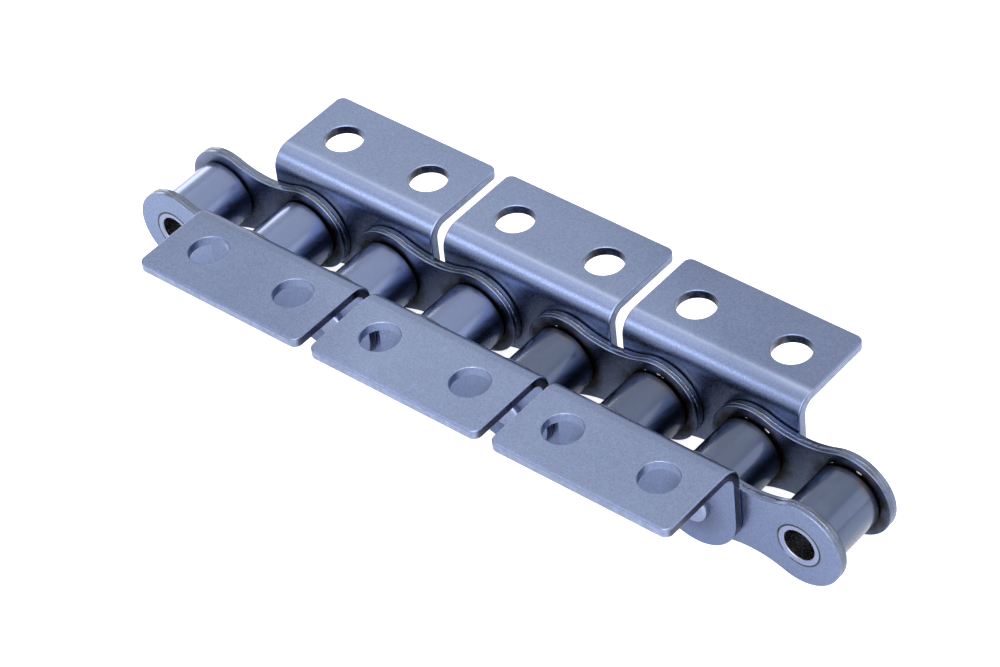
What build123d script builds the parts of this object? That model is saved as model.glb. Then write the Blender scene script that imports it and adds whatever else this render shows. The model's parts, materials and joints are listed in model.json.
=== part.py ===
from build123d import *
import os

# Attachment roller chain: four roller links joined by three outer links whose
# side plates are bent outward into flanges with bolt holes.
# Millimetres. The chain lies straight along X, its pins lie along Y and +Z is up.
# The origin is under the middle of the chain, at the foot of the link plates.

# Driving dimensions
pitch = 19.05
roller_count = 8
roller_diameter = 12.07
inner_width = 11.68
plate_thickness = 1.85
bush_diameter = 8.1
pin_diameter = 5.72
plate_gap = 3.1
waist_depth = 1.85
attachment_gap = 2.55
flange_rise = 12.45
flange_reach = 16.55
flange_bend_radius = 2.0
flange_corner_radius = 1.5
flange_hole_diameter = 6.9
flange_hole_offset = 7.8
head_height = 1.05
head_spread = 0.17

# Clearances, each on one side only
pin_clearance = 0.04
roller_clearance = 0.08
roller_side_clearance = 0.1
link_side_clearance = 0.12

# Roundings and chamfers
plate_edge_radius = 0.2
rolled_edge_radius = 0.35
flange_mouth_radius = 0.25
roller_edge_radius = 0.5
bush_chamfer = 0.14
bush_mouth_radius = 0.28
head_edge_radius = 0.62

# Sizes that follow from these
inner_lobe_radius = (pitch - plate_gap) / 2
outer_lobe_radius = (pitch - attachment_gap) / 2
axis_height = max(inner_lobe_radius, outer_lobe_radius)
attachment_length = pitch + 2 * outer_lobe_radius
pin_radius = pin_diameter / 2
bush_radius = bush_diameter / 2
bush_bore_radius = pin_radius + pin_clearance
roller_bore_radius = bush_radius + roller_clearance
roller_length = inner_width - 2 * roller_side_clearance
bush_length = inner_width + 2 * plate_thickness
web_inner = bush_length / 2 + link_side_clearance
web_outer = web_inner + plate_thickness
flange_edge = web_outer + flange_reach
hole_row = web_outer + flange_hole_offset
pin_length = 2 * (web_outer + head_height)


def joint_x(number):
    """Place along the chain of a joint, counted from 1 at the left end."""
    return (number - (roller_count + 1) / 2) * pitch


def link_outline(lobe_radius):
    """Two round lobes about the joints, with a shallow hollow waist between them."""
    half = pitch / 2
    waist = lobe_radius - waist_depth
    hollow_radius = (half**2 + waist**2 - lobe_radius**2) / (2 * waist_depth)
    share = lobe_radius / (lobe_radius + hollow_radius)
    join_x = half * (1 - share)
    join_z = (waist + hollow_radius) * share
    outline = [
        ThreePointArc((join_x, join_z), (half + lobe_radius, 0), (join_x, -join_z)),
        ThreePointArc((join_x, -join_z), (0, -waist), (-join_x, -join_z)),
        ThreePointArc((-join_x, -join_z), (-half - lobe_radius, 0), (-join_x, join_z)),
        ThreePointArc((-join_x, join_z), (0, waist), (join_x, join_z)),
    ]
    return make_face(outline)


def joint_holes(radius):
    """Two round drills along Y, one through each joint of a link."""
    drill = Plane.XZ * Cylinder(radius, 4 * flange_edge)
    return [Pos(side * pitch / 2, 0, 0) * drill for side in (-1, 1)]


def inner_plate():
    """Side plate of a roller link, centred on its own thickness."""
    blank = extrude(Plane.XZ * link_outline(inner_lobe_radius), plate_thickness / 2, both=True)
    rims = blank.faces().filter_by(Axis.Y).edges()
    return fillet(rims, plate_edge_radius) - joint_holes(bush_radius)


def attachment_outline():
    """Link outline below the joints, with straight sides that rise from its lobes."""
    sides = Pos(0, flange_rise / 2) * Rectangle(attachment_length, flange_rise)
    return Plane.XZ * (link_outline(outer_lobe_radius) + sides)


def bent_strip():
    """Sheet metal strip as wide as the attachment: upright web, bend and flat flange."""
    centre_y = web_outer + flange_bend_radius
    centre_z = flange_rise - plate_thickness - flange_bend_radius
    outer_bend = flange_bend_radius + plate_thickness
    slope = 0.5**0.5
    profile = [
        Line((web_outer, -outer_lobe_radius), (web_outer, centre_z)),
        ThreePointArc(
            (web_outer, centre_z),
            (centre_y - slope * flange_bend_radius, centre_z + slope * flange_bend_radius),
            (centre_y, flange_rise - plate_thickness),
        ),
        Line((centre_y, flange_rise - plate_thickness), (flange_edge, flange_rise - plate_thickness)),
        Line((flange_edge, flange_rise - plate_thickness), (flange_edge, flange_rise)),
        Line((flange_edge, flange_rise), (centre_y, flange_rise)),
        ThreePointArc(
            (centre_y, flange_rise),
            (centre_y - slope * outer_bend, centre_z + slope * outer_bend),
            (web_inner, centre_z),
        ),
        Line((web_inner, centre_z), (web_inner, -outer_lobe_radius)),
        Line((web_inner, -outer_lobe_radius), (web_outer, -outer_lobe_radius)),
    ]
    return extrude(Plane.YZ * make_face(profile), attachment_length / 2, both=True)


def flange_holes():
    """Upright drills for the two bolts of one flange."""
    drill = Cylinder(flange_hole_diameter / 2, 4 * flange_rise)
    return [Pos(side * pitch / 2, hole_row, flange_rise) * drill for side in (-1, 1)]


def attachment_plate():
    """Rear side plate of an outer link, with its flange bent away from the chain."""
    web = bent_strip() & extrude(attachment_outline(), 2 * flange_edge, both=True)
    corners = web.edges().filter_by(Axis.Z).group_by(Axis.Y)[-1]
    plate = fillet(corners, flange_corner_radius)
    plate = fillet(sheet_rims(plate, rolled=True), rolled_edge_radius)
    plate = fillet(sheet_rims(plate, rolled=False), plate_edge_radius)
    plate = plate - joint_holes(pin_radius) - flange_holes()
    circles = plate.edges().filter_by(GeomType.CIRCLE)
    mouths = [edge for edge in circles.group_by(Axis.Z)[-1] if edge.is_closed]
    return fillet(mouths, flange_mouth_radius)


def sheet_rims(plate, rolled):
    """Rims round one side of the bent sheet, the side that the press rolled over or the crisp one."""
    broad = plate.faces().sort_by(SortBy.AREA)[-6:]
    side = [face for face in broad if (face.normal_at().Z > face.normal_at().Y) == rolled]
    return [edge for edge in plate.edges() if is_rim(edge, side)]


def is_rim(edge, side):
    """True for an edge between one of these broad sheet faces and the narrow cut side."""
    owners = [face for face in side if any(edge.is_same(rim) for rim in face.edges())]
    return len(owners) == 1


def bush():
    """Plain bush with a rounded mouth at both ends, pressed flush into two inner plates."""
    tube = Cylinder(bush_radius, bush_length)
    tube = chamfer(tube.edges().filter_by(GeomType.CIRCLE), bush_chamfer)
    tube -= Cylinder(bush_bore_radius, bush_length)
    mouths = [edge for edge in tube.edges().filter_by(GeomType.CIRCLE)
              if abs(edge.radius - bush_bore_radius) < bush_chamfer]
    return Plane.XZ * fillet(mouths, bush_mouth_radius)


def roller():
    """Plain roller with rounded ends that turns on a bush."""
    body = Cylinder(roller_diameter / 2, roller_length)
    body = fillet(body.edges().filter_by(GeomType.CIRCLE), roller_edge_radius)
    return Plane.XZ * (body - Cylinder(roller_bore_radius, roller_length))


def pin():
    """Riveted pin: a round shank with a low domed head closed over each outer plate."""
    shank = Cylinder(pin_radius, pin_length - 2 * head_height)
    head = Cylinder(pin_radius + head_spread, head_height)
    head = fillet(head.edges().filter_by(GeomType.CIRCLE).sort_by(Axis.Z)[-1], head_edge_radius)
    top = Pos(0, 0, (pin_length - head_height) / 2) * head
    return Plane.XZ * (shank + top + Rot(180, 0, 0) * top)


def save(shape, node, x, y=0):
    """Writes one piece, moved along the chain and sideways, and lifted to the pin height."""
    placed = Pos(x, y, axis_height) * shape
    placed.label = node
    export_step(placed, f"parts/{node}.step")


def main():
    os.makedirs("parts", exist_ok=True)
    link_count = roller_count // 2
    plate_y = (inner_width + plate_thickness) / 2
    side_plate = inner_plate()
    rear_attachment = attachment_plate()
    front_attachment = Rot(0, 0, 180) * rear_attachment
    for number in range(1, roller_count + 1):
        save(roller(), f"roller_{number}", joint_x(number))
        save(bush(), f"bush_{number}", joint_x(number))
    for link in range(1, link_count + 1):
        middle = joint_x(2 * link - 0.5)
        save(side_plate, f"inner_plate_front_{link}", middle, -plate_y)
        save(side_plate, f"inner_plate_rear_{link}", middle, plate_y)
    for link in range(1, link_count):
        middle = joint_x(2 * link + 0.5)
        save(front_attachment, f"attachment_front_{link}", middle)
        save(rear_attachment, f"attachment_rear_{link}", middle)
        save(pin(), f"pin_{2 * link}", joint_x(2 * link))
        save(pin(), f"pin_{2 * link + 1}", joint_x(2 * link + 1))


main()
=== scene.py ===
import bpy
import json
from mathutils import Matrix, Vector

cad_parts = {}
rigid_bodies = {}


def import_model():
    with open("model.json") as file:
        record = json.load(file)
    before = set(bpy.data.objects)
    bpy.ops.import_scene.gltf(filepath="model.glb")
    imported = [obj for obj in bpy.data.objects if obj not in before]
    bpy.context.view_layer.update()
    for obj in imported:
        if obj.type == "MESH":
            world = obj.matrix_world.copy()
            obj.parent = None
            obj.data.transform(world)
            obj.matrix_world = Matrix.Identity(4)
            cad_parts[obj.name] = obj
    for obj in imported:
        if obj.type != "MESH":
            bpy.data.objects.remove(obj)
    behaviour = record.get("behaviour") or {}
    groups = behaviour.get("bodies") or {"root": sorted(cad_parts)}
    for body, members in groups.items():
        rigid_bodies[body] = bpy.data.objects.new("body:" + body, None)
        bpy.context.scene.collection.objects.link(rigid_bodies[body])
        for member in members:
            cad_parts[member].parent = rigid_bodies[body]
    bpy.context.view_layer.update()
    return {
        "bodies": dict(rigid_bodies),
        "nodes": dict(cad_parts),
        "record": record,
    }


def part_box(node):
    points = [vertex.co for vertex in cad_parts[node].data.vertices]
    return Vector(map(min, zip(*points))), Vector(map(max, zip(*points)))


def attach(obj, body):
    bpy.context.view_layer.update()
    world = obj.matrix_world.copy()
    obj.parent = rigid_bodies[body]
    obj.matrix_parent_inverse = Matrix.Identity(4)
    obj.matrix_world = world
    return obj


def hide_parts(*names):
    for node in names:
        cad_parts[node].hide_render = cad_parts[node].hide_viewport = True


bl_info = {
    "name": "Attachment Roller Chain",
    "version": (1, 0, 0),
    "blender": (4, 5, 0),
    "location": "3D View > Sidebar > Chain",
    "description": "Builds a straight length of steel attachment chain, its finishes and a plain studio",
    "category": "Add Mesh",
}

import json
import math

import bmesh
import bpy
from bpy.props import FloatProperty, FloatVectorProperty, IntProperty, PointerProperty
from mathutils import Matrix, Vector
from mathutils.geometry import tessellate_polygon

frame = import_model()

# Sizes read from the frame. Everything is in metres: the chain lies along X, the pins along Y, Z is up.
MOUNTS = {mount["name"]: mount for mount in frame["record"]["mounts"]}
LINK_BOLTS = MOUNTS["attachment_bolts_1"]
AXIS_HEIGHT = MOUNTS["left_end_bore"]["pos_m"][2]
BORE_RADIUS = MOUNTS["left_end_bore"]["dims"]["r_mm"] / 1000
PITCH = LINK_BOLTS["dims"]["spacing_x_mm"] / 1000
HOLE_ROW = LINK_BOLTS["dims"]["spacing_y_mm"] / 2000
BOLT_HOLE_RADIUS = LINK_BOLTS["dims"]["hole_r_mm"] / 1000
ROLLERS = sum(node.startswith("roller_") for node in frame["nodes"])
INNER_LINKS = sum(body.startswith("inner_link_") for body in frame["bodies"])
OUTER_LINKS = sum(body.startswith("outer_link_") for body in frame["bodies"])


def box_size(node):
    """Size of a CAD node along X, Y and Z."""
    low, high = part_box(node)
    return high - low


ROLLER_SIZE = box_size("roller_1")
BUSH_SIZE = box_size("bush_1")
PIN_SIZE = box_size("pin_2")
INNER_PLATE_SIZE = box_size("inner_plate_rear_1")
SHEET = INNER_PLATE_SIZE.y
INNER_PLATE_Y = sum(corner.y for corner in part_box("inner_plate_rear_1")) / 2
INNER_FACE = INNER_PLATE_Y - SHEET / 2
WEB_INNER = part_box("attachment_rear_1")[0].y
FLANGE_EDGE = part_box("attachment_rear_1")[1].y
FLANGE_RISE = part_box("attachment_rear_1")[1].z - AXIS_HEIGHT
ATTACHMENT_LENGTH = box_size("attachment_rear_1").x
CHAIN_MIDDLE = Vector((0, 0, AXIS_HEIGHT))

# Edges that turn more than this stay crisp
SHARP_ANGLE = math.radians(40)
# How far the shading follows the broad faces, where 50 treats all faces alike
BROAD_FACE_WEIGHT = 90
# Steps along each arc of a link plate's outline
WAIST_STEPS, LOBE_STEPS, CORNER_STEPS = 20, 30, 10
# Places of a plate's materials after that of its broad faces, which is 0
CUT_EDGE, FAR_RIM, HOLE_WALL = 1, 2, 3
# How far the oil spreads beyond the rollers, and how far short of the outer plates' rims it stops
OIL_MARGIN = 0.001
# The range in which most values of a noise texture lie
NOISE_RANGE = 0.3, 0.7
# Places of a mix node's colour sockets, which come after those for numbers and vectors
MIX_COLOURS, MIX_RESULT = (6, 7), 2


class ChainSizes(bpy.types.PropertyGroup):
    """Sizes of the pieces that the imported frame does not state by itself."""
    pin_radius: FloatProperty(
        name="Pin radius", description="Radius of the pin shank in the outer plates",
        default=0.00286, unit="LENGTH")
    waist_depth: FloatProperty(
        name="Waist depth", description="How far the waist of a link plate lies inside its lobes",
        default=0.00185, unit="LENGTH")
    # Painted highlight: half width of the bright line painted along the start of each rear bend
    bend_highlight_width: FloatProperty(
        name="Bend mark",
        description="Half width of the line that the bending tool rubbed on each rear flange",
        default=0.0011, unit="LENGTH")
    bend_radius: FloatProperty(
        name="Bend radius", description="Inside radius of the bend between web and flange",
        default=0.002, unit="LENGTH")
    corner_radius: FloatProperty(
        name="Corner radius", description="Radius of the two free corners of a flange",
        default=0.0015, unit="LENGTH")
    rim_radius: FloatProperty(
        name="Rim radius", description="Rounding of the crisp rims of a stamped plate",
        default=0.0002, unit="LENGTH")
    rolled_radius: FloatProperty(
        name="Rolled rim radius", description="Rounding of the rims that the press rolled over",
        default=0.00035, unit="LENGTH")
    hole_rim_radius: FloatProperty(
        name="Hole rim radius", description="Rounding of the upper rim of a bolt hole",
        default=0.00025, unit="LENGTH")
    press_rim_radius: FloatProperty(
        name="Press rim radius",
        description="Rounding of a hole that a bush or pin is pressed into, and of a bolt hole's lower rim",
        default=0.00018, unit="LENGTH")
    roller_round: FloatProperty(
        name="Roller rounding", description="Rounding of the ends of a roller",
        default=0.0005, unit="LENGTH")
    roller_wall_gap: FloatProperty(
        name="Roller running gap", description="Radial running gap between roller and bush",
        default=0.00008, unit="LENGTH")
    mouth_radius: FloatProperty(
        name="Bush mouth radius", description="Rounding of the mouth of a bush bore",
        default=0.00028, unit="LENGTH")
    bush_chamfer: FloatProperty(
        name="Bush chamfer", description="Small break of a bush's outer end edge and of a roller's bore",
        default=0.00014, unit="LENGTH")
    head_height: FloatProperty(
        name="Head height", description="How far a riveted pin head stands proud of its plate",
        default=0.00105, unit="LENGTH")
    head_round: FloatProperty(
        name="Head rounding", description="Rounding of a riveted pin head",
        default=0.00062, unit="LENGTH")
    bead_size: FloatProperty(
        name="Bead size", description="Half length of the largest beads of oil beside the rollers",
        default=0.0004, unit="LENGTH")
    turn_steps: IntProperty(
        name="Steps round", description="Steps round a turned piece", default=96, min=24)


class ChainFinish(bpy.types.PropertyGroup):
    """Colours of the blued, oiled steel, with its painted shade and painted highlight."""
    sheet_colour: FloatVectorProperty(
        name="Sheet colour", description="Blued face of the stamped plates",
        subtype="COLOR", default=(0.264, 0.322, 0.49), min=0, max=1)
    sheet_shade: FloatVectorProperty(
        name="Sheet shade", description="Darker cloud in the bluing of the plates",
        subtype="COLOR", default=(0.152, 0.189, 0.302), min=0, max=1)
    cut_colour: FloatVectorProperty(
        name="Cut edge colour", description="Sheared edge of the plates",
        subtype="COLOR", default=(0.165, 0.193, 0.283), min=0, max=1)
    # Painted shade: this colour darkens the cut ends of the front outer plates that look along the chain,
    # deep in the narrow gaps between links
    end_shade_colour: FloatVectorProperty(
        name="End colour", description="Cut ends of the front outer plates that look along the chain",
        subtype="COLOR", default=(0.073, 0.07, 0.096), min=0, max=1)
    stain_colour: FloatVectorProperty(
        name="Stain colour", description="Olive stain of old oil on the cut edges",
        subtype="COLOR", default=(0.132, 0.15, 0.157), min=0, max=1)
    # Painted shade and old oil: this colour darkens the inner faces between the plates, the rings round the
    # pin heads, the walls of the rear bolt holes and the front webs' cut edges; along the far rims and in
    # the bush holes and their groove it is old oil
    grime_and_shade_colour: FloatVectorProperty(
        name="Grime colour", description="Old oil on the inner faces, along the far rims and in the holes",
        subtype="COLOR", default=(0.036, 0.035, 0.038), min=0, max=1)
    # Painted highlight: this colour paints the bright line along the start of each rear bend, and gives the
    # lighter patches of the outer plates' cut edges
    highlight_and_edge_colour: FloatVectorProperty(
        name="Rubbed colour", description="Line that the bending tool rubbed bright on each rear flange",
        subtype="COLOR", default=(0.33, 0.385, 0.558), min=0, max=1)
    roller_colour: FloatVectorProperty(
        name="Roller colour", description="Surface of the rollers at the drier, left end of the chain",
        subtype="COLOR", default=(0.134, 0.176, 0.322), min=0, max=1)
    oiled_colour: FloatVectorProperty(
        name="Oiled roller colour",
        description="Surface of the rollers at the wetter, right end of the chain",
        subtype="COLOR", default=(0.058, 0.082, 0.148), min=0, max=1)
    bush_colour: FloatVectorProperty(
        name="Bush colour", description="Ground ends of the bushes",
        subtype="COLOR", default=(0.218, 0.259, 0.405), min=0, max=1)
    pin_colour: FloatVectorProperty(
        name="Pin colour", description="Riveted pin heads",
        subtype="COLOR", default=(0.37, 0.413, 0.551), min=0, max=1)
    oil_colour: FloatVectorProperty(
        name="Oil colour", description="Brown tint of old oil in the joints",
        subtype="COLOR", default=(0.092, 0.07, 0.054), min=0, max=1)
    bead_colour: FloatVectorProperty(
        name="Bead colour", description="Glossy beads of oil beside the rollers",
        subtype="COLOR", default=(0.277, 0.28, 0.314), min=0, max=1)
    bore_colour: FloatVectorProperty(
        name="Bore colour", description="Oily steel inside the bushes",
        subtype="COLOR", default=(0.31, 0.322, 0.344), min=0, max=1)


class StudioSettings(bpy.types.PropertyGroup):
    """Camera and light of the plain studio."""
    azimuth: FloatProperty(
        name="Azimuth", description="Turn of the camera round the chain",
        default=math.radians(43.681), subtype="ANGLE")
    elevation: FloatProperty(
        name="Elevation", description="Height angle of the camera",
        default=math.radians(42.511), subtype="ANGLE")
    roll: FloatProperty(
        name="Roll", description="Roll of the camera about its own axis",
        default=math.radians(-6.626), subtype="ANGLE")
    distance: FloatProperty(
        name="Distance", description="From the camera to the middle of the chain",
        default=0.61996, unit="LENGTH")
    aim: FloatVectorProperty(
        name="Aim offset", description="Sideways and upward offset of the aim", size=2,
        default=(-0.000104, -0.003383), unit="LENGTH")
    lens: FloatProperty(
        name="Lens", description="Focal length in millimetres on a 36 mm wide sensor",
        default=134.42, unit="CAMERA")
    floor_colour: FloatVectorProperty(
        name="Floor colour", description="Plain pale floor",
        subtype="COLOR", default=(0.93, 0.94, 0.955), min=0, max=1)
    world_strength: FloatProperty(
        name="Room light", description="Strength of the pale light from the room", default=1.0, min=0)


def smooth_mesh(name, vertices, faces, sharp_angle=SHARP_ANGLE):
    """Mesh from points and faces, with smooth shading apart from sharp edges."""
    mesh = bpy.data.meshes.new(name)
    mesh.from_pydata(vertices, [], faces)
    mesh.validate()
    shape = bmesh.new()
    shape.from_mesh(mesh)
    bmesh.ops.recalc_face_normals(shape, faces=shape.faces)
    shape.to_mesh(mesh)
    shape.free()
    mesh.shade_smooth()
    mesh.set_sharp_from_angle(angle=sharp_angle)
    return mesh


def add_piece(name, mesh, body, slot, *nodes):
    """Links a mesh as a piece that rides on a body and stands for CAD nodes."""
    piece = bpy.data.objects.new(name, mesh)
    bpy.context.scene.collection.objects.link(piece)
    weighted = piece.modifiers.new("even shading", "WEIGHTED_NORMAL")
    weighted.keep_sharp = True
    weighted.weight = BROAD_FACE_WEIGHT
    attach(piece, body)
    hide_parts(*nodes)


def arc(centre, radius, start, end, steps):
    """Points on an arc, angles in radians, both ends included."""
    turn = (end - start) / steps
    return [Vector((centre[0] + radius * math.cos(start + turn * i),
                    centre[1] + radius * math.sin(start + turn * i))) for i in range(steps + 1)]


def merged(points, tolerance=1e-7):
    """The same loop of points without neighbours that fall together."""
    return [point for i, point in enumerate(points) if (point - points[i - 1]).length > tolerance]


def lobe_outline(lobe_radius, waist_depth, straight_top=None):
    """Outline of a link plate in its own plane, counter-clockwise, joints at half a pitch to each side.

    straight_top is (height, corner radius) for a plate whose sides rise straight from its lobes."""
    half = PITCH / 2
    waist = lobe_radius - waist_depth
    hollow = (half**2 + waist**2 - lobe_radius**2) / (2 * waist_depth)
    tilt = math.atan2(half, waist + hollow)
    lower = arc((0, -waist - hollow), hollow, math.pi / 2 + tilt, math.pi / 2 - tilt, WAIST_STEPS)
    right_foot = arc((half, 0), lobe_radius, -math.pi / 2 - tilt, 0, LOBE_STEPS)
    left_foot = arc((-half, 0), lobe_radius, math.pi, 1.5 * math.pi + tilt, LOBE_STEPS)
    if straight_top is None:
        upper = arc((0, waist + hollow), hollow, -math.pi / 2 + tilt, -math.pi / 2 - tilt, WAIST_STEPS)
        right_head = arc((half, 0), lobe_radius, 0, math.pi / 2 + tilt, LOBE_STEPS)
        left_head = arc((-half, 0), lobe_radius, math.pi / 2 - tilt, math.pi, LOBE_STEPS)
        return merged(lower + right_foot + right_head + upper + left_head + left_foot)
    height, corner = straight_top
    side = half + lobe_radius
    right_corner = arc((side - corner, height - corner), corner, 0, math.pi / 2, CORNER_STEPS)
    left_corner = arc((-side + corner, height - corner), corner, math.pi / 2, math.pi, CORNER_STEPS)
    return merged(lower + right_foot + right_corner + left_corner + left_foot)


def round_hole(x, y, radius, steps=64):
    """Clockwise loop of points of a round hole."""
    return arc((x, y), radius, 2 * math.pi, 0, steps)[:-1]


def outward(points):
    """Unit vectors in the plane that point out of the metal, one for each point of a loop."""
    found = []
    for i, point in enumerate(points):
        before = (point - points[i - 1]).normalized()
        after = (points[(i + 1) % len(points)] - point).normalized()
        along = (before + after).normalized()
        found.append(Vector((along.y, -along.x)))
    return found


def stamped_sheet(loops, rims, thickness, rim_steps=4):
    """Vertices and faces of a flat sheet with rounded rims, in (across, along, through) coordinates.

    The first loop is the outline and the others are holes. rims holds two rim radii for each loop, first
    the one on the side that a bend stretches."""
    vertices, faces, front, back = [], [], [], []
    turns = [math.pi / 2 * step / rim_steps for step in range(rim_steps + 1)]
    for points, (near, far) in zip(loops, rims):
        normals = outward(points)
        section = [(near * (1 - math.sin(t)), near * (1 - math.cos(t)) - thickness / 2) for t in turns]
        section += [(far * (1 - math.sin(t)), thickness / 2 - far * (1 - math.cos(t)))
                    for t in reversed(turns)]
        first = len(vertices)
        count = len(points)
        for inset, through in section:
            for point, normal in zip(points, normals):
                flat = point - normal * inset
                vertices.append((flat.x, flat.y, through))
        for ring in range(len(section) - 1):
            for i in range(count):
                j = (i + 1) % count
                low = first + ring * count
                faces.append((low + i, low + j, low + count + j, low + count + i))
        front.append(list(range(first, first + count)))
        last = first + (len(section) - 1) * count
        back.append(list(range(last, last + count)))
    for side in (front, back):
        flat_index = [index for loop in side for index in loop]
        rings = [[Vector(vertices[index]).to_2d().to_3d() for index in loop] for loop in side]
        faces += [tuple(flat_index[i] for i in triangle) for triangle in tessellate_polygon(rings)]
    return vertices, faces


def bend_form(sizes):
    """Centre across and above the joints, middle radius and middle length of the bend under a flange."""
    centre_y = WEB_INNER + SHEET + sizes.bend_radius
    centre_z = FLANGE_RISE - SHEET - sizes.bend_radius
    middle = sizes.bend_radius + SHEET / 2
    return centre_y, centre_z, middle, middle * math.pi / 2


def folded(vertex, sizes):
    """Where a point of the flat attachment blank lies once its flange is bent."""
    across, along, through = vertex
    centre_y, centre_z, middle, bend_length = bend_form(sizes)
    past = along - centre_z
    radius = middle - through
    if past <= 0:
        return across, centre_y - radius, along
    if past >= bend_length:
        return across, centre_y + past - bend_length, centre_z + radius
    turn = past / middle
    return across, centre_y - radius * math.cos(turn), centre_z + radius * math.sin(turn)


def turned(profile, steps, closed, on_axis=1e-9):
    """Vertices and faces of a profile of (radius, y) points turned round the Y axis."""
    vertices, faces, rings = [], [], []
    for radius, y in profile:
        if radius < on_axis:
            rings.append([len(vertices)] * steps)
            vertices.append((0, y, 0))
            continue
        rings.append(list(range(len(vertices), len(vertices) + steps)))
        for i in range(steps):
            angle = 2 * math.pi * i / steps
            vertices.append((radius * math.cos(angle), y, radius * math.sin(angle)))
    following = rings[1:] + (rings[:1] if closed else [])
    for low, high in zip(rings, following):
        for i in range(steps):
            j = (i + 1) % steps
            face = dict.fromkeys((low[i], low[j], high[j], high[i]))
            faces.append(tuple(face))
    return vertices, faces


def rounded_corner(corner, before, after, radius, steps=5):
    """Points of the arc that rounds a square corner between two neighbouring points."""
    corner, before, after = Vector(corner), Vector(before), Vector(after)
    one = (before - corner).normalized() * radius
    two = (after - corner).normalized() * radius
    centre = corner + one + two
    return [centre - two * math.cos(t) - one * math.sin(t)
            for t in (math.pi / 2 * step / steps for step in range(steps + 1))]


def rounded_profile(corners, radii):
    """Closed profile with each corner rounded by its own radius."""
    points = []
    for i, (corner, radius) in enumerate(zip(corners, radii)):
        after = corners[(i + 1) % len(corners)]
        points += rounded_corner(corner, corners[i - 1], after, radius)
    return points


def moved(vertices, x, y=0, half_turn=False):
    """Vertices placed along and across the chain, at the height of the pins."""
    way = -1 if half_turn else 1
    return [(way * vx + x, way * vy + y, vz + AXIS_HEIGHT) for vx, vy, vz in vertices]


def joint_x(number):
    """Place along the chain of a joint, counted from 1 at the left end."""
    return (number - (ROLLERS + 1) / 2) * PITCH


def joint_mesh(name, number, vertices, faces, material, sharp_angle=SHARP_ANGLE):
    """Mesh of one material, moved from the origin to its joint."""
    mesh = smooth_mesh(f"{name}_{number}", moved(vertices, joint_x(number)), faces, sharp_angle)
    mesh.materials.append(material)
    return mesh


def new_metal(name, coat=0.0, coat_roughness=0.03):
    """Metal material with its tree and shader, under a clear coat of oil where it has one."""
    material = bpy.data.materials.new(name)
    material.use_nodes = True
    tree = material.node_tree
    tree.nodes.clear()
    output = tree.nodes.new("ShaderNodeOutputMaterial")
    shader = tree.nodes.new("ShaderNodeBsdfPrincipled")
    shader.inputs["Metallic"].default_value = 1
    shader.inputs["Coat Weight"].default_value = coat
    shader.inputs["Coat Roughness"].default_value = coat_roughness
    tree.links.new(shader.outputs["BSDF"], output.inputs["Surface"])
    return material, tree, shader


def paint(tree, shader, colour, roughness):
    """Joins a surface's colour and roughness to its shader."""
    tree.links.new(colour, shader.inputs["Base Color"])
    tree.links.new(roughness, shader.inputs["Roughness"])


def noise(tree, scale, detail=4, roughness=0.5, stretch=(1, 1, 1)):
    """Noise that moves with the piece, because it is in the piece's own coordinates.

    scale is about the number of patches to the metre."""
    place = tree.nodes.new("ShaderNodeTexCoord")
    mapping = tree.nodes.new("ShaderNodeMapping")
    mapping.inputs["Scale"].default_value = stretch
    texture = tree.nodes.new("ShaderNodeTexNoise")
    texture.inputs["Scale"].default_value = scale
    texture.inputs["Detail"].default_value = detail
    texture.inputs["Roughness"].default_value = roughness
    tree.links.new(place.outputs["Object"], mapping.inputs["Vector"])
    tree.links.new(mapping.outputs["Vector"], texture.inputs["Vector"])
    return texture.outputs["Fac"]


def spread(tree, value, low, high, out_low=0.0, out_high=1.0):
    """The value mapped from one range to another, clamped."""
    node = tree.nodes.new("ShaderNodeMapRange")
    for key, number in zip(("From Min", "From Max", "To Min", "To Max"), (low, high, out_low, out_high)):
        node.inputs[key].default_value = number
    tree.links.new(value, node.inputs["Value"])
    return node.outputs["Result"]


def combine(tree, operation, one, two=0.0):
    """Maths on one or two values, each a socket or a number."""
    node = tree.nodes.new("ShaderNodeMath")
    node.operation = operation
    for socket, value in zip(node.inputs, (one, two)):
        if isinstance(value, (int, float)):
            socket.default_value = value
        else:
            tree.links.new(value, socket)
    return node.outputs["Value"]


def product(tree, first, *others):
    """Product of two or more values, each a socket or a number."""
    for other in others:
        first = combine(tree, "MULTIPLY", first, other)
    return first


def blended(tree, factor, one, two):
    """Colour between two colours, each a socket or a tuple."""
    node = tree.nodes.new("ShaderNodeMix")
    node.data_type = "RGBA"
    tree.links.new(factor, node.inputs["Factor"])
    for index, value in zip(MIX_COLOURS, (one, two)):
        if isinstance(value, bpy.types.NodeSocket):
            tree.links.new(value, node.inputs[index])
        else:
            node.inputs[index].default_value = (*value, 1)
    return node.outputs[MIX_RESULT]


def bump(tree, shader, height, distance):
    """Surface relief of the given depth in metres."""
    node = tree.nodes.new("ShaderNodeBump")
    node.inputs["Strength"].default_value = 1
    node.inputs["Distance"].default_value = distance
    tree.links.new(height, node.inputs["Height"])
    tree.links.new(node.outputs["Normal"], shader.inputs["Normal"])


def own_place(tree, output="Object"):
    """Sockets along, across and above of a point's own place or "Normal", which move with the piece."""
    place = tree.nodes.new("ShaderNodeTexCoord")
    parts = tree.nodes.new("ShaderNodeSeparateXYZ")
    tree.links.new(place.outputs[output], parts.inputs["Vector"])
    return parts.outputs


def joint_distance(tree):
    """How far a point lies from the axis of the nearest joint."""
    along, _, above = own_place(tree)
    turns = combine(tree, "FRACT", combine(tree, "DIVIDE", along, PITCH))
    sideways = product(tree, combine(tree, "SUBTRACT", turns, 0.5), PITCH)
    upward = combine(tree, "SUBTRACT", above, AXIS_HEIGHT)
    squares = [product(tree, length, length) for length in (sideways, upward)]
    return combine(tree, "SQRT", combine(tree, "ADD", *squares))


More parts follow.
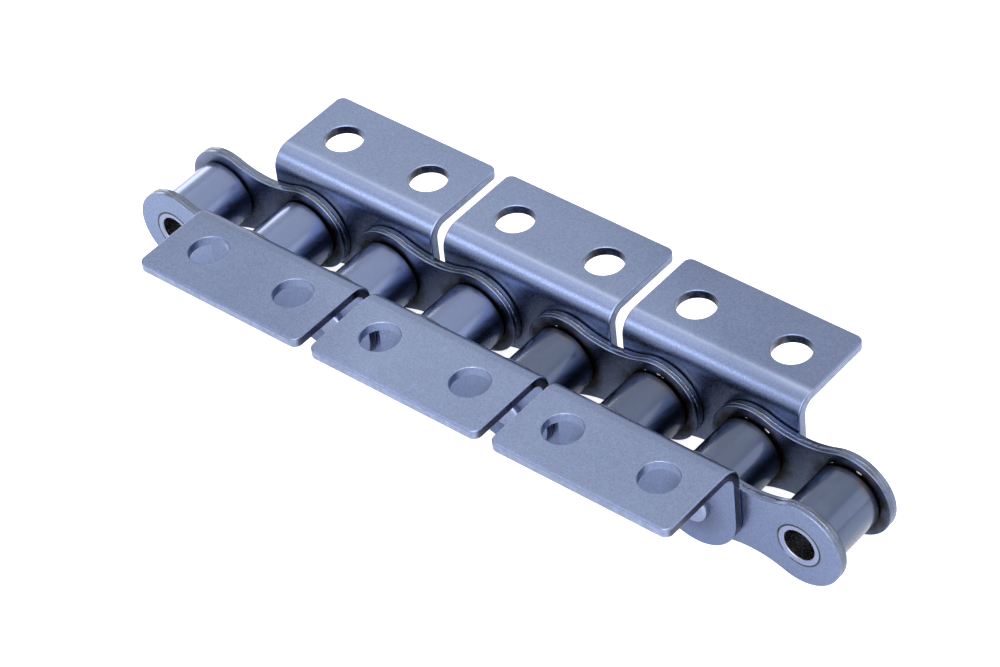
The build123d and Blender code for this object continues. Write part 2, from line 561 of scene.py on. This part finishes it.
def oil_and_shade_film(tree, inner_face, reach):
    """Oil that crept out of each joint over a plate's inner face, together with painted shade between the
    plates: 1 where it is thickest, 0 where it is dry.

    The inner plates keep a thin film of it all over that face, which is painted shade as much as oil. The
    left end of the chain is drier."""
    along, across, _ = own_place(tree)
    wave, thin_film_and_shade, dry_end = 0.0008, 0.2, 0.55
    ripple = spread(tree, noise(tree, 300), *NOISE_RANGE, -wave, wave)
    rippled_distance = combine(tree, "ADD", joint_distance(tree), ripple)
    least = 0.0 if inner_face == WEB_INNER else thin_film_and_shade
    near = spread(tree, rippled_distance, reach + 0.0012, reach - 0.0008, least, 1.0)
    # Painted shade and oil: only the faces that look in between the plates darken
    depth = spread(tree, combine(tree, "ABSOLUTE", across), inner_face + 0.0011, inner_face + 0.0001)
    wet = spread(tree, along, -3.4 * PITCH, -2.6 * PITCH, dry_end, 1.0)
    return product(tree, near, depth, wet)


def darker_corners(tree, begins=0.00015, full=0.00055, most=0.4):
    """Darker colour of the outer plates towards the front left and the rear right of the chain.

    begins and full are products of the places along and across, in square metres."""
    along, across, _ = own_place(tree)
    return spread(tree, product(tree, along, across), begins, full, 0.0, most)


def mottled(tree, light, dark, darkened):
    """Colour of blued steel: soft wide clouds and a fine mottled grain between two shades."""
    clouds = spread(tree, noise(tree, 22), *NOISE_RANGE, -0.2, 0.2)
    grain = spread(tree, noise(tree, 3600, detail=2, roughness=0.6), 0.32, 0.68, 0.25, 0.75)
    shade = combine(tree, "ADD", clouds, grain)
    return blended(tree, combine(tree, "ADD", shade, darkened), light, dark)


def bend_highlight(tree, bend_line, half_width):
    """Painted highlight along the start of each rear bend: up to 1 on it, 0 elsewhere, uneven along its
    length.
    """
    _, across, above = own_place(tree)
    off_line = combine(tree, "ABSOLUTE", combine(tree, "SUBTRACT", across, bend_line))
    top = AXIS_HEIGHT + FLANGE_RISE
    upper = spread(tree, above, top - 0.9 * SHEET, top - 0.6 * SHEET)
    uneven = spread(tree, noise(tree, 30, roughness=0.6), 0.38, 0.6, 0.25, 0.85)
    return product(tree, spread(tree, off_line, half_width, 0.0), uneven, upper)


def blued_sheet(finish, inner_face, reach, bend=None):
    """Satin blued face of the plates, with a fine mottled grain, and oil and painted shade round the joints
    and between the plates.

    bend is (place, half width) of the painted highlight along the start of the bend, for the bent outer
    plates alone."""
    material, tree, shader = new_metal("blued_sheet")
    darkened = darker_corners(tree) if bend else 0.0
    colour = mottled(tree, finish.sheet_colour, finish.sheet_shade, darkened)
    film = oil_and_shade_film(tree, inner_face, reach)
    grain = noise(tree, 2600, detail=3)
    roughness = spread(tree, grain, *NOISE_RANGE, 0.26, 0.34)
    if bend:
        # Painted shade round the pin heads, joined to the oil and painted shade between the plates
        pin_head_shade = spread(tree, joint_distance(tree), 0.0065, 0.0030, 0.0, 0.5)
        film = combine(tree, "MAXIMUM", film, pin_head_shade)
        # Painted highlight along the start of the bend
        line = bend_highlight(tree, *bend)
        colour = blended(tree, line, colour, finish.highlight_and_edge_colour)
        roughness = combine(tree, "ADD", roughness, product(tree, line, 0.06))
    paint(tree, shader, blended(tree, film, colour, finish.grime_and_shade_colour), roughness)
    bump(tree, shader, grain, 0.000004)
    return material


def sheared_patches(tree, least=0.0, most=1.0):
    """Share of smooth, sheared metal on a cut edge. The rest of the edge is rougher and darker."""
    return spread(tree, noise(tree, 900, roughness=0.75), 0.36, 0.62, least, most)


def oil_stains(tree, at_ends, in_middle):
    """Patches of old oil on a cut edge, with their strength at the chain's ends and in its middle."""
    from_middle = combine(tree, "ABSOLUTE", own_place(tree)["X"])
    strength = spread(tree, from_middle, 3 * PITCH, 2.2 * PITCH, at_ends, in_middle)
    patches = spread(tree, noise(tree, 110, detail=5, roughness=0.65), 0.40, 0.58)
    return product(tree, patches, strength)


def paint_edge(tree, shader, film, patches, steel, grime_and_shade_colour):
    """Cut edge under its oil and painted shade, smoother where it was sheared."""
    colour = blended(tree, film, steel, grime_and_shade_colour)
    paint(tree, shader, colour, spread(tree, patches, 0, 1, 0.26, 0.17))


def torn_edge(finish, inner_face, reach):
    """Cut edge of the inner plates, with olive stains of oil and a torn ridge along its middle."""
    material, tree, shader = new_metal("cut_edge")
    patches = sheared_patches(tree)
    sheared = blended(tree, patches, finish.sheet_shade, finish.cut_colour)
    edge_colour = blended(tree, oil_stains(tree, 0.5, 0.9), sheared, finish.stain_colour)
    paint_edge(tree, shader, oil_and_shade_film(tree, inner_face, reach), patches, edge_colour, finish.grime_and_shade_colour)
    stray, half_width, height = 0.0001, 0.00022, 0.00016
    wander = spread(tree, noise(tree, 500, detail=3), *NOISE_RANGE, -stray, stray)
    strayed = combine(tree, "ADD", combine(tree, "ABSOLUTE", own_place(tree)["Y"]), wander)
    off_ridge = combine(tree, "ABSOLUTE", combine(tree, "SUBTRACT", strayed, inner_face + SHEET / 2))
    torn = spread(tree, noise(tree, 1100, roughness=0.7), 0.42, 0.58, 0.25, 1.0)
    bump(tree, shader, product(tree, spread(tree, off_ridge, half_width, 0.0), torn), height)
    return material


def dragged_edge(finish, inner_face, reach):
    """Cut edge of the outer plates, with fine drag lines, and painted shade on the ends and webs of the
    front ones.
    """
    material, tree, shader = new_metal("cut_edge")
    patches = sheared_patches(tree, 0.35, 0.9)
    sheared = blended(tree, patches, finish.cut_colour, finish.highlight_and_edge_colour)
    edge_colour = blended(tree, oil_stains(tree, 0.125, 0.225), sheared, finish.stain_colour)
    _, across, above = own_place(tree)
    front = spread(tree, across, 0.002, -0.002, 0.1, 0.95)
    # Painted shade on the cut ends that look along the chain, mostly on the front plates
    facing_along = combine(tree, "ABSOLUTE", own_place(tree, "Normal")["X"])
    ends = product(tree, spread(tree, facing_along, 0.7, 0.95), front)
    edge_colour = blended(tree, ends, edge_colour, finish.end_shade_colour)
    # Painted shade on the web edges below the flange, mostly on the front plates
    under_flange = AXIS_HEIGHT + FLANGE_RISE - SHEET
    web_shade = product(tree, spread(tree, above, under_flange, under_flange - 2 * SHEET, 0.0, 0.5), front)
    edge_colour = blended(tree, web_shade, edge_colour, finish.grime_and_shade_colour)
    paint_edge(tree, shader, oil_and_shade_film(tree, inner_face, reach), patches, edge_colour, finish.grime_and_shade_colour)
    bump(tree, shader, noise(tree, 5200, detail=2, stretch=(1, 0.25, 1)), 0.000006)
    return material


def grimy_rim(finish):
    """Far rim of a cut edge, dark with old oil and rubbed through here and there; the same colour is painted
    shade on the walls of the rear bolt holes.
    """
    material, tree, shader = new_metal("grimy_rim", coat=0.5, coat_roughness=0.15)
    lighter_patches = spread(tree, noise(tree, 380, roughness=0.7), 0.42, 0.70)
    colour = blended(tree, lighter_patches, finish.grime_and_shade_colour, finish.sheet_shade)
    paint(tree, shader, colour, spread(tree, noise(tree, 2200, detail=3), *NOISE_RANGE, 0.30, 0.45))
    return material


def oiled_roller(finish):
    """Smooth roller under a clear film of oil, with brown clots towards its rear end.

    The rollers in the right half of the chain are wetter and darker."""
    material, tree, shader = new_metal("oiled_roller", coat=0.9, coat_roughness=0.12)
    along, across, _ = own_place(tree)
    wet = spread(tree, along, -0.25 * PITCH, 0.25 * PITCH)
    clouds = noise(tree, 160, detail=5, roughness=0.6, stretch=(1, 0.4, 1))
    shades = spread(tree, clouds, *NOISE_RANGE, 0.0, 0.35)
    dry_steel = blended(tree, shades, finish.roller_colour, finish.sheet_shade)
    smears = noise(tree, 220, detail=5, roughness=0.6, stretch=(1, 0.5, 1))
    oiled = product(tree, wet, spread(tree, smears, 0.35, 0.65, 0.85, 1.15))
    steel = blended(tree, oiled, dry_steel, finish.oiled_colour)
    end = ROLLER_SIZE.y / 2
    rear_end = spread(tree, across, end - 0.0024, end - 0.0004)
    clots = spread(tree, noise(tree, 420, detail=5, roughness=0.65), 0.38, 0.60)
    brown = product(tree, rear_end, clots, spread(tree, wet, 0, 1, 0.35, 1))
    colour = blended(tree, brown, steel, finish.oil_colour)
    paint(tree, shader, colour, spread(tree, noise(tree, 900, detail=3), *NOISE_RANGE, 0.27, 0.30))
    return material


def bush_steel(finish):
    """Bush: pale ground ends, an oily groove where it is pressed in, and a brown bore with old oil."""
    material, tree, shader = new_metal("bush_steel", coat=0.6, coat_roughness=0.12)
    grain = noise(tree, 2000, detail=3)
    ends = blended(tree, grain, finish.sheet_colour, finish.bush_colour)
    end, outer = BUSH_SIZE.y / 2, BUSH_SIZE.x / 2
    from_middle = combine(tree, "ABSOLUTE", own_place(tree)["Y"])
    inside = spread(tree, from_middle, end - 0.00002, end - 0.0002)
    dregs = spread(tree, noise(tree, 130, detail=3), 0.35, 0.65, 0.1, 0.3)
    bore = blended(tree, dregs, finish.bore_colour, finish.oil_colour)
    groove = spread(tree, joint_distance(tree), outer - 0.00024, outer - 0.00016)
    colour = blended(tree, groove, blended(tree, inside, ends, bore), finish.grime_and_shade_colour)
    paint(tree, shader, colour, spread(tree, grain, *NOISE_RANGE, 0.22, 0.32))
    bump(tree, shader, grain, 0.000004)
    return material


def oil_bead(finish):
    """Glossy bead of brown oil with a little dust in it."""
    material, tree, shader = new_metal("oil_bead", coat=1, coat_roughness=0.05)
    dust = spread(tree, noise(tree, 2400, detail=3), 0.4, 0.7)
    colour = blended(tree, dust, finish.bead_colour, finish.oil_colour)
    paint(tree, shader, colour, spread(tree, dust, 0, 1, 0.06, 0.16))
    return material


def pin_steel(finish):
    """Pin heads, brighter than the plates from the riveting."""
    material, tree, shader = new_metal("pin_steel")
    grain = noise(tree, 1800)
    colour = blended(tree, grain, finish.sheet_colour, finish.pin_colour)
    paint(tree, shader, colour, spread(tree, grain, *NOISE_RANGE, 0.25, 0.35))
    bump(tree, shader, grain, 0.000008)
    return material


def flat_blank(name, flat, faces, upright=0.1, level=0.95):
    """Mesh of a flat sheet, with its cut edge and its far rim on their own materials."""
    mesh = smooth_mesh(name, flat, faces)
    for polygon in mesh.polygons:
        tilt = polygon.normal.z
        if abs(tilt) < upright:
            polygon.material_index = CUT_EDGE
        elif 0 < tilt < level:
            polygon.material_index = FAR_RIM
    return mesh


def shaped_copy(blank, name, points, materials):
    """Copy of a flat blank, with its points moved to their places in the plate and its faces facing out."""
    mesh = blank.copy()
    mesh.name = name
    mesh.vertices.foreach_set("co", [value for point in points for value in point])
    mesh.flip_normals()
    mesh.update()
    mesh.shade_smooth()
    mesh.set_sharp_from_angle(angle=SHARP_ANGLE)
    for material in materials:
        mesh.materials.append(material)
    return mesh


class CHAIN_OT_inner_plates(bpy.types.Operator):
    """Build the waisted side plates of the roller links"""
    bl_idname = "chain.inner_plates"
    bl_label = "Inner plates"

    def execute(self, context):
        sizes, finish = context.scene.chain_sizes, context.scene.chain_finish
        bush_radius = BUSH_SIZE.x / 2
        holes = [round_hole(side * PITCH / 2, 0, bush_radius) for side in (-1, 1)]
        loops = [lobe_outline(INNER_PLATE_SIZE.z / 2, sizes.waist_depth), *holes]
        rims = [(sizes.rim_radius, sizes.rim_radius)]
        rims += [(sizes.press_rim_radius, sizes.press_rim_radius)] * 2
        blank = flat_blank("inner_blank", *stamped_sheet(loops, rims, SHEET))
        for polygon in blank.polygons:
            from_joint = math.hypot(abs(polygon.center.x) - PITCH / 2, polygon.center.y)
            # The holes of the bushes are as dark with old oil as the far rims
            if from_joint < bush_radius + sizes.press_rim_radius:
                polygon.material_index = FAR_RIM
        upright = [(v.co.x, v.co.z, v.co.y) for v in blank.vertices]
        reach = ROLLER_SIZE.x / 2 + OIL_MARGIN
        sheet, cut = blued_sheet(finish, INNER_FACE, reach), torn_edge(finish, INNER_FACE, reach)
        materials = sheet, cut, grimy_rim(finish)
        for link in range(1, INNER_LINKS + 1):
            middle = joint_x(2 * link - 0.5)
            for side, way in (("front", -1), ("rear", 1)):
                points = moved(upright, middle, way * INNER_PLATE_Y)
                mesh = shaped_copy(blank, f"stamped_plate_{side}_{link}", points, materials)
                add_piece(f"stamped_inner_plate_{side}_{link}", mesh, f"inner_link_{link}", "inner_plate",
                          f"inner_plate_{side}_{link}")
        return {"FINISHED"}


class CHAIN_OT_attachments(bpy.types.Operator):
    """Build the outer link plates with their bent flanges"""
    bl_idname = "chain.attachments"
    bl_label = "Attachment plates"

    def execute(self, context):
        sizes, finish = context.scene.chain_sizes, context.scene.chain_finish
        lobe_radius = (ATTACHMENT_LENGTH - PITCH) / 2
        blank = self.cut_blank(sizes, lobe_radius)
        reach = lobe_radius - OIL_MARGIN
        bend_end, *_ = bend_form(sizes)
        bend = bend_end - sizes.bend_highlight_width / 2, sizes.bend_highlight_width
        sheet, cut = blued_sheet(finish, WEB_INNER, reach, bend), dragged_edge(finish, WEB_INNER, reach)
        grime_and_shade = grimy_rim(finish)
        for link in range(1, OUTER_LINKS + 1):
            middle = joint_x(2 * link + 0.5)
            for side, half_turn in (("front", True), ("rear", False)):
                points = moved([folded(v.co, sizes) for v in blank.vertices], middle, half_turn=half_turn)
                # On the rear plates the far rims take the dark rim material, and so do the walls of the bolt
                # holes, where it is painted shade
                rim = sheet if half_turn else grime_and_shade
                mesh = shaped_copy(blank, f"bent_plate_{side}_{link}", points, (sheet, cut, rim, rim))
                add_piece(f"bent_attachment_{side}_{link}", mesh, f"outer_link_{link}", "attachment",
                          f"attachment_{side}_{link}")
        return {"FINISHED"}

    def cut_blank(self, sizes, lobe_radius):
        """Flat plate with its holes, in narrow strips where it will bend."""
        centre_y, centre_z, _, bend_length = bend_form(sizes)
        flange_start = centre_z + bend_length
        blank_top = flange_start + FLANGE_EDGE - centre_y
        hole_height = flange_start + HOLE_ROW - centre_y
        loops = [lobe_outline(lobe_radius, sizes.waist_depth, (blank_top, sizes.corner_radius))]
        loops += [round_hole(side * PITCH / 2, 0, sizes.pin_radius) for side in (-1, 1)]
        loops += [round_hole(side * PITCH / 2, hole_height, BOLT_HOLE_RADIUS) for side in (-1, 1)]
        rims = [(sizes.rolled_radius, sizes.rim_radius)]
        rims += [(sizes.press_rim_radius, sizes.press_rim_radius)] * 2
        rims += [(sizes.hole_rim_radius, sizes.press_rim_radius)] * 2
        blank = flat_blank("attachment_blank", *stamped_sheet(loops, rims, SHEET))
        self.slice_bend(blank, centre_z, bend_length)
        for polygon in blank.polygons:
            from_hole = math.hypot(abs(polygon.center.x) - PITCH / 2, polygon.center.y - hole_height)
            if polygon.material_index == CUT_EDGE and from_hole < BOLT_HOLE_RADIUS + sizes.hole_rim_radius:
                polygon.material_index = HOLE_WALL
        return blank

    def slice_bend(self, mesh, bend_start, bend_length, slices=12, tolerance=1e-7):
        """Cuts the flat blank into narrow strips where it will bend."""
        shape = bmesh.new()
        shape.from_mesh(mesh)
        for height in [bend_start + bend_length * i / slices for i in range(slices + 1)]:
            everything = shape.verts[:] + shape.edges[:] + shape.faces[:]
            bmesh.ops.bisect_plane(shape, geom=everything, plane_co=(0, height, 0), plane_no=(0, 1, 0),
                                   dist=tolerance)
        shape.to_mesh(mesh)
        shape.free()


class CHAIN_OT_bushes(bpy.types.Operator):
    """Build the bushes that are pressed into the inner plates"""
    bl_idname = "chain.bushes"
    bl_label = "Bushes"

    def execute(self, context):
        sizes = context.scene.chain_sizes
        end = BUSH_SIZE.y / 2
        outer = BUSH_SIZE.x / 2
        corners = [(BORE_RADIUS, -end), (outer, -end), (outer, end), (BORE_RADIUS, end)]
        radii = [sizes.mouth_radius, sizes.bush_chamfer, sizes.bush_chamfer, sizes.mouth_radius]
        vertices, faces = turned(rounded_profile(corners, radii), sizes.turn_steps, True)
        material = bush_steel(context.scene.chain_finish)
        for number in range(1, ROLLERS + 1):
            mesh = joint_mesh("bush_ring", number, vertices, faces, material)
            add_piece(f"pressed_bush_{number}", mesh, f"inner_link_{(number + 1) // 2}", "bush",
                      f"bush_{number}")
        return {"FINISHED"}


class CHAIN_OT_oil_beads(bpy.types.Operator):
    """Build the small beads of oil that sit on the inner plates beside the rollers"""
    bl_idname = "chain.oil_beads"
    bl_label = "Oil beads"
    # By roller: place round it in degrees up from the right, and share of the largest size
    places = {
        5: ((104, 0.5),),
        6: ((110, 0.4), (84, 0.75), (76, 0.45)),
        7: ((97, 0.4), (58, 1.0)),
        8: ((121, 0.55), (71, 0.95)),
    }
    # Only the foot of a bead has an edge that turns as much as this
    foot_angle = math.radians(80)

    def execute(self, context):
        sizes = context.scene.chain_sizes
        material = oil_bead(context.scene.chain_finish)
        for number, beads_here in self.places.items():
            vertices, faces = [], []
            for degrees, share in beads_here:
                self.add_bead(vertices, faces, math.radians(degrees), share * sizes.bead_size)
            mesh = joint_mesh("oil_drops", number, vertices, faces, material, self.foot_angle)
            beads = bpy.data.objects.new(f"oil_beads_{number}", mesh)
            context.scene.collection.objects.link(beads)
            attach(beads, f"inner_link_{(number + 1) // 2}")
        return {"FINISHED"}

    def add_bead(self, vertices, faces, turn, size, rings=4, steps=14):
        """One drop that clings to the rear plate's inner face, drawn out along the edge of the roller."""
        first = len(vertices)
        length, width, height = 1.5 * size, 0.6 * size, 0.55 * size
        from_joint = ROLLER_SIZE.x / 2 + 0.75 * size
        foot, unevenness = INNER_FACE + 0.00002, 0.15
        for ring in range(rings):
            lift = math.pi / 2 * ring / rings
            for step in range(steps):
                way = 2 * math.pi * step / steps
                swell = 1 + unevenness * math.sin(3 * way)
                lengthways = length * math.cos(lift) * math.cos(way) * swell
                radius = from_joint + width * math.cos(lift) * math.sin(way)
                angle = turn + lengthways / from_joint
                vertices.append((radius * math.cos(angle), foot - height * math.sin(lift),
                                 radius * math.sin(angle)))
        vertices.append((from_joint * math.cos(turn), foot - height, from_joint * math.sin(turn)))
        top = len(vertices) - 1
        faces.append(tuple(range(first, first + steps)))
        for ring in range(rings):
            for step in range(steps):
                low, after = first + ring * steps, (step + 1) % steps
                if ring == rings - 1:
                    faces.append((low + step, low + after, top))
                else:
                    faces.append((low + step, low + after, low + steps + after, low + steps + step))


class CHAIN_OT_rollers(bpy.types.Operator):
    """Build the rollers that turn on the bushes"""
    bl_idname = "chain.rollers"
    bl_label = "Rollers"

    def execute(self, context):
        sizes = context.scene.chain_sizes
        end = ROLLER_SIZE.y / 2
        outer = ROLLER_SIZE.x / 2
        inner = BUSH_SIZE.x / 2 + sizes.roller_wall_gap
        corners = [(inner, -end), (outer, -end), (outer, end), (inner, end)]
        radii = [sizes.bush_chamfer, sizes.roller_round, sizes.roller_round, sizes.bush_chamfer]
        vertices, faces = turned(rounded_profile(corners, radii), sizes.turn_steps, True)
        material = oiled_roller(context.scene.chain_finish)
        for number in range(1, ROLLERS + 1):
            mesh = joint_mesh("roller_ring", number, vertices, faces, material)
            add_piece(f"turned_roller_{number}", mesh, f"roller_body_{number}", "roller", f"roller_{number}")
        return {"FINISHED"}


class CHAIN_OT_pins(bpy.types.Operator):
    """Build the riveted pins"""
    bl_idname = "chain.pins"
    bl_label = "Pins"

    def execute(self, context):
        sizes = context.scene.chain_sizes
        end = PIN_SIZE.y / 2
        head = PIN_SIZE.x / 2
        under = end - sizes.head_height
        crown = rounded_corner((head, end), (head, under), (0, end), sizes.head_round)
        half = [(sizes.pin_radius, under), (head, under)] + [tuple(point) for point in crown] + [(0, end)]
        profile = [(radius, -y) for radius, y in reversed(half)] + half
        vertices, faces = turned(profile, sizes.turn_steps, False)
        material = pin_steel(context.scene.chain_finish)
        for number in range(2, ROLLERS):
            mesh = joint_mesh("pin_shank", number, vertices, faces, material)
            add_piece(f"riveted_pin_{number}", mesh, f"outer_link_{number // 2}", "pin", f"pin_{number}")
        return {"FINISHED"}


def seen_or_mirrored(tree):
    """1 for rays that show the studio, straight or in metal and glass, 0 for light that falls on things."""
    path = tree.nodes.new("ShaderNodeLightPath")
    share = path.outputs["Is Camera Ray"]
    for ray in ("Is Glossy Ray", "Is Transmission Ray"):
        share = combine(tree, "MAXIMUM", share, path.outputs[ray])
    return share


class CHAIN_OT_studio(bpy.types.Operator):
    """Build the pale floor, the soft lights and the camera"""
    bl_idname = "chain.studio"
    bl_label = "Studio"

    def execute(self, context):
        settings = context.scene.chain_studio
        self.floor(settings)
        self.room(context.scene, settings)
        self.soft_boxes()
        self.camera(context.scene, settings)
        context.scene.view_settings.view_transform = "Standard"
        return {"FINISHED"}

    def floor(self, settings, reach=4.0, mirrored_glow=0.08, camera_glow=0.74):
        """Floor that shows white and keeps the chain's shadow, brighter to the camera than in the metal."""
        mesh = bpy.data.meshes.new("floor")
        mesh.from_pydata([(-reach, -reach, 0), (reach, -reach, 0), (reach, reach, 0), (-reach, reach, 0)],
                         [], [(0, 1, 2, 3)])
        floor = bpy.data.objects.new("floor", mesh)
        bpy.context.scene.collection.objects.link(floor)
        material = bpy.data.materials.new("pale_floor")
        material.use_nodes = True
        tree = material.node_tree
        tree.nodes.clear()
        output = tree.nodes.new("ShaderNodeOutputMaterial")
        plain = tree.nodes.new("ShaderNodeBsdfDiffuse")
        plain.inputs["Color"].default_value = (*settings.floor_colour, 1)
        glow = tree.nodes.new("ShaderNodeEmission")
        everywhere = product(tree, seen_or_mirrored(tree), mirrored_glow)
        path = tree.nodes.new("ShaderNodeLightPath")
        to_camera = product(tree, path.outputs["Is Camera Ray"], camera_glow)
        tree.links.new(combine(tree, "ADD", everywhere, to_camera), glow.inputs["Strength"])
        both = tree.nodes.new("ShaderNodeAddShader")
        tree.links.new(plain.outputs["BSDF"], both.inputs[0])
        tree.links.new(glow.outputs["Emission"], both.inputs[1])
        tree.links.new(both.outputs["Shader"], output.inputs["Surface"])
        mesh.materials.append(material)

    def room(self, scene, settings):
        """Pale blue-grey light from the room, which is plain white to the camera and in the metal."""
        world = bpy.data.worlds.new("room")
        world.use_nodes = True
        tree = world.node_tree
        background = tree.nodes["Background"]
        background.inputs["Strength"].default_value = settings.world_strength
        way = tree.nodes.new("ShaderNodeTexCoord")
        height = tree.nodes.new("ShaderNodeSeparateXYZ")
        tree.links.new(way.outputs["Generated"], height.inputs["Vector"])
        walls = tree.nodes.new("ShaderNodeValToRGB")
        low, high = walls.color_ramp.elements
        low.position, low.color = 0.20, (0.56, 0.59, 0.67, 1)
        high.position, high.color = 0.50, (0.66, 0.70, 0.765, 1)
        tree.links.new(height.outputs["Z"], walls.inputs["Fac"])
        tree.links.new(walls.outputs["Color"], background.inputs["Color"])
        white = tree.nodes.new("ShaderNodeBackground")
        white.inputs["Color"].default_value = (1, 1, 1, 1)
        choice = tree.nodes.new("ShaderNodeMixShader")
        tree.links.new(seen_or_mirrored(tree), choice.inputs["Fac"])
        tree.links.new(background.outputs["Background"], choice.inputs[1])
        tree.links.new(white.outputs["Background"], choice.inputs[2])
        tree.links.new(choice.outputs["Shader"], tree.nodes["World Output"].inputs["Surface"])
        scene.world = world

    def soft_boxes(self):
        """Soft lights all round, wide and dim enough that no flat face reflects one as plain white."""
        warm = 1.06, 1, 0.915
        # Place and width in metres, power in watts, colour
        boxes = {
            "overhead": ((0.05, 0.0, 1.0), 1.4, 2.15, warm),
            "beside_camera": ((0.55, -0.40, 0.73), 1.2, 6.4, warm),
            "front": ((0.25, -0.90, 0.45), 1.1, 7.15, (0.89, 0.90, 1.05)),
            "front_left": ((-0.53, -0.68, 0.57), 0.3, 0.86, (0.83, 0.86, 1.05)),
            "left": ((-0.95, 0.50, 0.15), 0.45, 1.43, (0.95, 0.95, 0.96)),
            "line": ((-0.55, 0.36, 0.87), 0.26, 0.29, warm),
            "upper_left": ((-0.52, -0.12, 0.86), 0.4, 0.236, (0.795, 0.88, 1.19)),
            "right": ((0.77, 0.58, 0.38), 0.6, 0.86, (0.93, 0.93, 1.0)),
        }
        for name, (place, width, power, colour) in boxes.items():
            light = bpy.data.lights.new(name, "AREA")
            light.size = width
            light.energy = power
            light.color = colour
            lamp = bpy.data.objects.new(name, light)
            bpy.context.scene.collection.objects.link(lamp)
            lamp.location = place
            lamp.rotation_mode = "QUATERNION"
            lamp.rotation_quaternion = (CHAIN_MIDDLE - Vector(place)).to_track_quat("-Z", "Y")

    def camera(self, scene, settings, sensor_width=36):
        """Camera at the photograph's viewing angle."""
        azimuth, elevation = settings.azimuth, settings.elevation
        look = Vector((-math.sin(azimuth) * math.cos(elevation), math.cos(azimuth) * math.cos(elevation),
                       -math.sin(elevation)))
        level = Vector((math.cos(azimuth), math.sin(azimuth), 0))
        upright = level.cross(look)
        right = level * math.cos(settings.roll) + upright * math.sin(settings.roll)
        up = upright * math.cos(settings.roll) - level * math.sin(settings.roll)
        sideways, upward = right * settings.aim[0], up * settings.aim[1]
        eye = CHAIN_MIDDLE - look * settings.distance - sideways - upward
        data = bpy.data.cameras.new("camera")
        data.sensor_width = sensor_width
        data.lens = settings.lens
        camera = bpy.data.objects.new("camera", data)
        scene.collection.objects.link(camera)
        turn = Matrix((right, up, -look)).transposed().to_4x4()
        camera.matrix_world = Matrix.Translation(eye) @ turn
        scene.camera = camera


class CHAIN_PT_panel(bpy.types.Panel):
    """Lists the parts of the chain and its studio"""
    bl_idname = "CHAIN_PT_panel"
    bl_label = "Attachment roller chain"
    bl_space_type = "VIEW_3D"
    bl_region_type = "UI"
    bl_category = "Chain"

    def draw(self, context):
        for operator in OPERATORS:
            self.layout.operator(operator.bl_idname)


OPERATORS = (CHAIN_OT_inner_plates, CHAIN_OT_attachments, CHAIN_OT_bushes, CHAIN_OT_oil_beads,
             CHAIN_OT_rollers, CHAIN_OT_pins, CHAIN_OT_studio)
SETTINGS = {"chain_sizes": ChainSizes, "chain_finish": ChainFinish, "chain_studio": StudioSettings}


def register():
    """Makes the settings, the operators and the panel known to Blender."""
    for group in SETTINGS.values():
        bpy.utils.register_class(group)
    for operator in (*OPERATORS, CHAIN_PT_panel):
        bpy.utils.register_class(operator)
    for name, group in SETTINGS.items():
        setattr(bpy.types.Scene, name, PointerProperty(type=group))


def unregister():
    """Takes back all that register() made known."""
    for name in SETTINGS:
        delattr(bpy.types.Scene, name)
    for operator in (*OPERATORS, CHAIN_PT_panel):
        bpy.utils.unregister_class(operator)
    for group in SETTINGS.values():
        bpy.utils.unregister_class(group)


def main():
    register()
    bpy.ops.chain.inner_plates()
    bpy.ops.chain.attachments()
    bpy.ops.chain.bushes()
    bpy.ops.chain.oil_beads()
    bpy.ops.chain.rollers()
    bpy.ops.chain.pins()
    bpy.ops.chain.studio()


if __name__ == "__main__":
    main()
